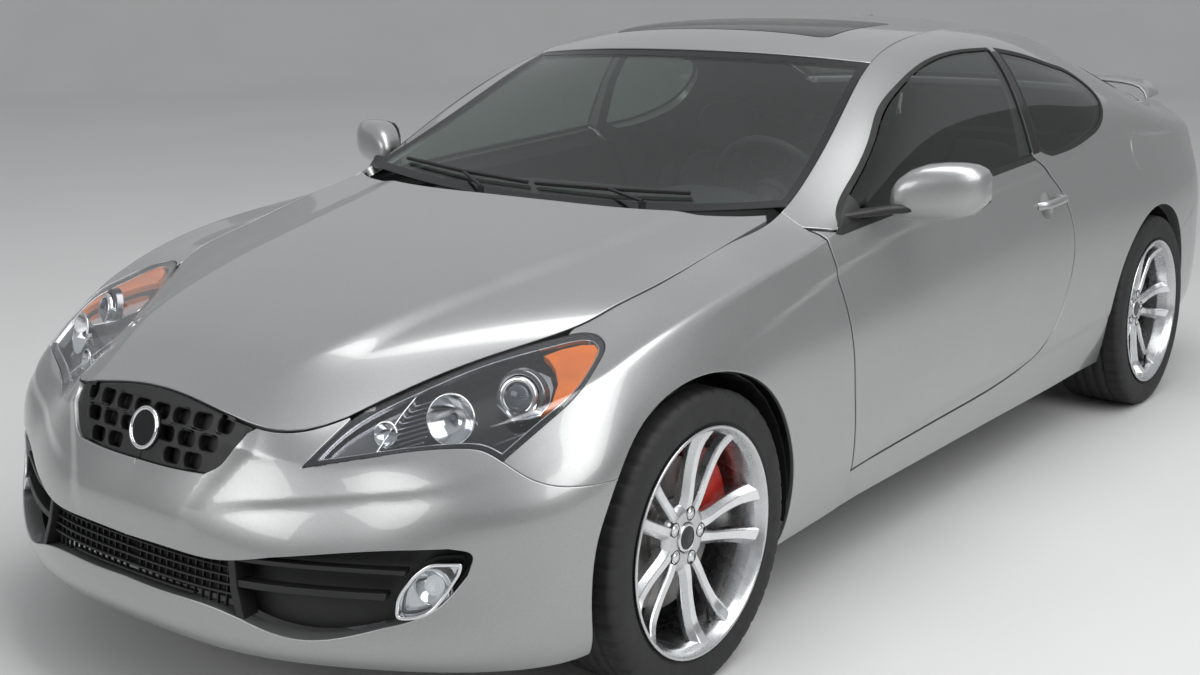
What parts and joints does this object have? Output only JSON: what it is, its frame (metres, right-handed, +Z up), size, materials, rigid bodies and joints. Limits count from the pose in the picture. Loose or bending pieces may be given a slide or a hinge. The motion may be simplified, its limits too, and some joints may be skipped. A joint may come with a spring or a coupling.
{
  "type": "two-door coupe car",
  "caption": "Two-door coupe with a long hood, sloping roof, frameless doors, a low rear wing and twin-spoke wheels; it steers and rolls, and its doors, hood and trunk open.",
  "frame": {"origin": "on the ground under the middle of the car", "axes": "+X to the car's left, +Y to its tail, +Z up"},
  "size_m": [2.21, 4.628, 1.3849],
  "materials": {
    "paint": "metallic silver",
    "black_trim": "matte",
    "glass": "clear, lightly tinted",
    "dark_glass": "dark tint",
    "lamp_lens": "clear",
    "tail_lens": "gloss",
    "seat_leather": "satin",
    "dash": "soft matte",
    "structure": "satin",
    "cooler": "matte",
    "engine": "cast",
    "suspension": "satin",
    "exhaust": "brushed",
    "tyre": "matte",
    "alloy": "machined and lacquered"
  },
  "bodies": {
    "body": {"body_side_left": "paint", "body_side_right": "paint", "cowl_panel": "black_trim", "dashboard": "dash", "engine_block": "engine", "exhaust": "exhaust", "fog_lamps": "lamp_lens", "front_bumper": "paint", "front_fenders": "paint", "front_seats": "seat_leather", "front_suspension": "suspension", "headlamps": "lamp_lens", "lower_grilles": "black_trim", "parcel_shelf": "black_trim", "quarter_glass": "glass", "radiator": "cooler", "rear_bumper": "paint", "rear_seat": "seat_leather", "rear_suspension": "suspension", "rear_window": "glass", "roof_panel": "paint", "sunroof_glass": "dark_glass", "tail_lamps": "tail_lens", "underbody": "structure", "upper_grille": "black_trim", "wheel_liners": "black_trim", "windshield": "glass", "wipers": "black_trim"},
    "hood": {"hood": "paint"},
    "trunk": {"trunk_lid": "paint", "rear_wing": "paint"},
    "door_left": {"door_left": "paint", "door_glass_left": "glass", "mirror_left": "paint"},
    "door_right": {"door_right": "paint", "door_glass_right": "glass", "mirror_right": "paint"},
    "knuckle_left": {"knuckle_left": "suspension"},
    "knuckle_right": {"knuckle_right": "suspension"},
    "wheel_front_left": {"tyre_front_left": "tyre", "rim_front_left": "alloy"},
    "wheel_front_right": {"tyre_front_right": "tyre", "rim_front_right": "alloy"},
    "wheel_rear_left": {"tyre_rear_left": "tyre", "rim_rear_left": "alloy"},
    "wheel_rear_right": {"tyre_rear_right": "tyre", "rim_rear_right": "alloy"},
    "steering": {"steering_wheel": "dash"}
  },
  "joints": [
    {"name": "hood_hinge", "type": "hinge", "parent": "body", "child": "hood", "pos_m": [0, -0.85, 0.89], "axis": [-1, 0, 0], "range_deg": [0, 45]},
    {"name": "trunk_hinge", "type": "hinge", "parent": "body", "child": "trunk", "pos_m": [0, 1.45, 0.96], "axis": [1, 0, 0], "range_deg": [0, 60]},
    {"name": "door_left_hinge", "type": "hinge", "parent": "body", "child": "door_left", "pos_m": [0.887, -0.922, 0.5], "axis": [0, 0, -1], "range_deg": [0, 58]},
    {"name": "door_right_hinge", "type": "hinge", "parent": "body", "child": "door_right", "pos_m": [-0.887, -0.922, 0.5], "axis": [0, 0, 1], "range_deg": [0, 58]},
    {"name": "steer_left", "type": "hinge", "parent": "body", "child": "knuckle_left", "pos_m": [0.765, -1.49, 0.331], "axis": [0, 0, 1], "range_deg": [-35, 35]},
    {"name": "steer_right", "type": "hinge", "parent": "body", "child": "knuckle_right", "pos_m": [-0.765, -1.49, 0.331], "axis": [0, 0, 1], "range_deg": [-35, 35]},
    {"name": "wheel_front_left_axle", "type": "hinge", "parent": "knuckle_left", "child": "wheel_front_left", "pos_m": [0.8, -1.49, 0.331], "axis": [1, 0, 0], "continuous": true},
    {"name": "wheel_front_right_axle", "type": "hinge", "parent": "knuckle_right", "child": "wheel_front_right", "pos_m": [-0.8, -1.49, 0.331], "axis": [1, 0, 0], "continuous": true},
    {"name": "wheel_rear_left_axle", "type": "hinge", "parent": "body", "child": "wheel_rear_left", "pos_m": [0.8075, 1.33, 0.339], "axis": [1, 0, 0], "continuous": true},
    {"name": "wheel_rear_right_axle", "type": "hinge", "parent": "body", "child": "wheel_rear_right", "pos_m": [-0.8075, 1.33, 0.339], "axis": [1, 0, 0], "continuous": true},
    {"name": "steering_column", "type": "hinge", "parent": "body", "child": "steering", "pos_m": [0.37, -0.335, 0.9], "axis": [0, 0.9135, 0.4067], "range_deg": [-490, 490]}
  ],
  "couplings": [
    {"joint": "steer_right", "follows": "steer_left", "ratio": 1},
    {"joint": "steering_column", "follows": "steer_left", "ratio": 14}
  ]
}
